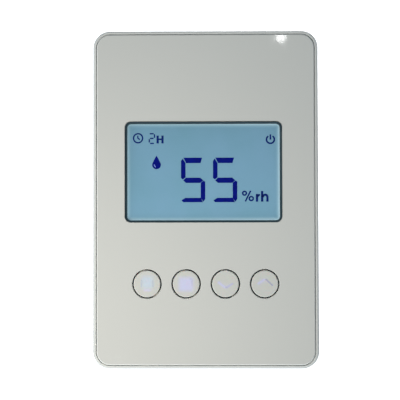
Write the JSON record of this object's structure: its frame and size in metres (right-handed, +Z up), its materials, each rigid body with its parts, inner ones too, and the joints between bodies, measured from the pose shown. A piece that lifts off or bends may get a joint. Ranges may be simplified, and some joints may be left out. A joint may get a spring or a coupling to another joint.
{
  "type": "humidity controller",
  "caption": "Flat portrait wall controller for humidity with a glossy panel, a display window, round push keys, wire terminals and a hook-on wall plate.",
  "frame": {"origin": "middle of the wall plate's screw slots, in the plane of the wall", "axes": "+Z up, +X to the right as seen from the front, the front faces -Y"},
  "size_m": [0.08, 0.0221, 0.12],
  "materials": {
    "plate_steel": "zinc-plated sheet",
    "rear_shell": "fine moulded grain",
    "front_shell": "polished moulding",
    "clear_panel": "polished clear acrylic",
    "panel_print": "printed grey film",
    "tape": "foam adhesive tape",
    "screw_steel": "nickel-plated steel",
    "board": "solder mask over glass-fibre board",
    "display_glass": "thin display glass",
    "polariser": "polarising film",
    "tinned_metal": "tin-plated",
    "white_plastic": "moulded",
    "light_guide": "clear acrylic",
    "white_sheet": "matt white film",
    "led": "moulded with a clear face",
    "black_plastic": "moulded",
    "ferrite": "fired and ground",
    "blue_lacquer": "dipped lacquer",
    "terminal_plastic": "moulded",
    "brass_strip": "punched strip",
    "foam": "closed-cell foam",
    "key_plastic": "polished moulding"
  },
  "bodies": {
    "wall": {"wall_plate": "plate_steel"},
    "controller": {"rear_housing": "rear_shell", "front_housing": "front_shell", "front_panel": "clear_panel", "panel_film": "panel_print", "panel_tape": "tape", "case_screws": "screw_steel", "board_screws": "screw_steel", "main_board": "board", "lcd_front_glass": "display_glass", "lcd_rear_glass": "display_glass", "lcd_front_polariser": "polariser", "lcd_rear_polariser": "polariser", "lcd_pins": "tinned_metal", "lcd_holder": "white_plastic", "light_guide": "light_guide", "light_diffuser": "white_sheet", "light_reflector": "white_sheet", "backlight_leds": "led", "key_leds": "led", "switch_bodies": "black_plastic", "switch_covers": "tinned_metal", "switch_domes": "tinned_metal", "key_light_shield": "black_plastic", "microcontroller": "black_plastic", "crystal": "tinned_metal", "voltage_regulator": "black_plastic", "inductor": "ferrite", "capacitors": "tinned_metal", "fuse": "white_plastic", "surge_absorber": "blue_lacquer", "relays": "white_plastic", "buzzer": "black_plastic", "chip_components": "ferrite", "terminal_body": "terminal_plastic", "terminal_contacts": "brass_strip", "sensor_board": "board", "humidity_sensor": "black_plastic", "sensor_filter_cap": "white_plastic", "sensor_foam": "foam", "sensor_header": "tinned_metal"},
    "key_1": {"key_cap_1": "key_plastic", "key_plunger_1": "black_plastic"},
    "key_2": {"key_cap_2": "key_plastic", "key_plunger_2": "black_plastic"},
    "key_3": {"key_cap_3": "key_plastic", "key_plunger_3": "black_plastic"},
    "key_4": {"key_cap_4": "key_plastic", "key_plunger_4": "black_plastic"},
    "clamp_screw_1": {"terminal_screw_1": "screw_steel"},
    "clamp_screw_2": {"terminal_screw_2": "screw_steel"},
    "clamp_screw_3": {"terminal_screw_3": "screw_steel"},
    "clamp_screw_4": {"terminal_screw_4": "screw_steel"},
    "wire_cage_1": {"terminal_cage_1": "tinned_metal"},
    "wire_cage_2": {"terminal_cage_2": "tinned_metal"},
    "wire_cage_3": {"terminal_cage_3": "tinned_metal"},
    "wire_cage_4": {"terminal_cage_4": "tinned_metal"}
  },
  "joints": [
    {"name": "case_lift", "type": "slide", "parent": "wall", "child": "controller", "axis": [0, 0, 1], "range_m": [0, 0.005]},
    {"name": "key_1_press", "type": "slide", "parent": "controller", "child": "key_1", "axis": [0, 1, 0], "range_m": [0, 0.0005], "stiffness_N_per_m": 300, "springref_m": -0.001},
    {"name": "key_2_press", "type": "slide", "parent": "controller", "child": "key_2", "axis": [0, 1, 0], "range_m": [0, 0.0005], "stiffness_N_per_m": 300, "springref_m": -0.001},
    {"name": "key_3_press", "type": "slide", "parent": "controller", "child": "key_3", "axis": [0, 1, 0], "range_m": [0, 0.0005], "stiffness_N_per_m": 300, "springref_m": -0.001},
    {"name": "key_4_press", "type": "slide", "parent": "controller", "child": "key_4", "axis": [0, 1, 0], "range_m": [0, 0.0005], "stiffness_N_per_m": 300, "springref_m": -0.001},
    {"name": "clamp_screw_1_turn", "type": "hinge", "parent": "controller", "child": "clamp_screw_1", "pos_m": [-0.0075, -0.004, 0.0107], "axis": [0, -1, 0], "range_deg": [0, 1200]},
    {"name": "clamp_screw_2_turn", "type": "hinge", "parent": "controller", "child": "clamp_screw_2", "pos_m": [-0.0025, -0.004, 0.0107], "axis": [0, -1, 0], "range_deg": [0, 1200]},
    {"name": "clamp_screw_3_turn", "type": "hinge", "parent": "controller", "child": "clamp_screw_3", "pos_m": [0.0025, -0.004, 0.0107], "axis": [0, -1, 0], "range_deg": [0, 1200]},
    {"name": "clamp_screw_4_turn", "type": "hinge", "parent": "controller", "child": "clamp_screw_4", "pos_m": [0.0075, -0.004, 0.0107], "axis": [0, -1, 0], "range_deg": [0, 1200]},
    {"name": "wire_cage_1_slide", "type": "slide", "parent": "controller", "child": "wire_cage_1", "axis": [0, 1, 0], "range_m": [0, 0.0015]},
    {"name": "wire_cage_2_slide", "type": "slide", "parent": "controller", "child": "wire_cage_2", "axis": [0, 1, 0], "range_m": [0, 0.0015]},
    {"name": "wire_cage_3_slide", "type": "slide", "parent": "controller", "child": "wire_cage_3", "axis": [0, 1, 0], "range_m": [0, 0.0015]},
    {"name": "wire_cage_4_slide", "type": "slide", "parent": "controller", "child": "wire_cage_4", "axis": [0, 1, 0], "range_m": [0, 0.0015]}
  ],
  "couplings": [
    {"joint": "clamp_screw_1_turn", "follows": "wire_cage_1_slide", "rad_per_m": 13962},
    {"joint": "clamp_screw_2_turn", "follows": "wire_cage_2_slide", "rad_per_m": 13962},
    {"joint": "clamp_screw_3_turn", "follows": "wire_cage_3_slide", "rad_per_m": 13962},
    {"joint": "clamp_screw_4_turn", "follows": "wire_cage_4_slide", "rad_per_m": 13962}
  ]
}
